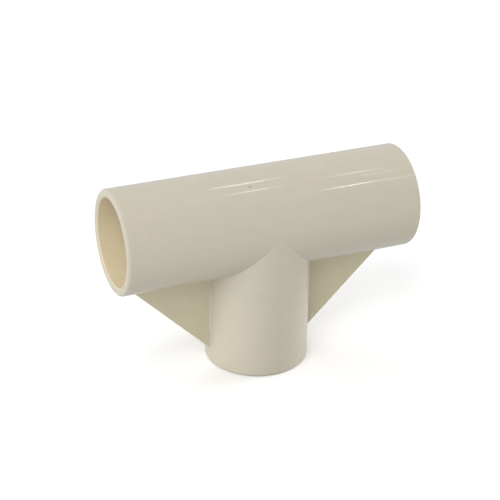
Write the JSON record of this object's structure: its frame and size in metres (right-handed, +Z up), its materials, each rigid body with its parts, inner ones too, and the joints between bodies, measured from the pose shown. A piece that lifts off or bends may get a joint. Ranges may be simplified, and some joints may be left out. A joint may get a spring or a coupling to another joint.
{
  "type": "pipe tee fitting",
  "caption": "Moulded plastic tee for push-in pipe: straight run with a socket at each end, branch socket below, thin triangular gussets bracing the branch to the run.",
  "frame": {"origin": "centre of the branch socket's mouth, which is also the bottom centre of the bounding box", "axes": "+X along the run towards its right socket, +Z up along the branch towards the run, +Y towards the back"},
  "size_m": [0.0984, 0.0336, 0.0658],
  "materials": {
    "moulded_plastic": "ivory, injection moulded, glossy outside and satin inside the sockets"
  },
  "bodies": {
    "root": {"tee_hub": "moulded_plastic", "run_left_socket": "moulded_plastic", "run_right_socket": "moulded_plastic", "branch_socket": "moulded_plastic", "left_gusset": "moulded_plastic", "right_gusset": "moulded_plastic"}
  },
  "joints": []
}
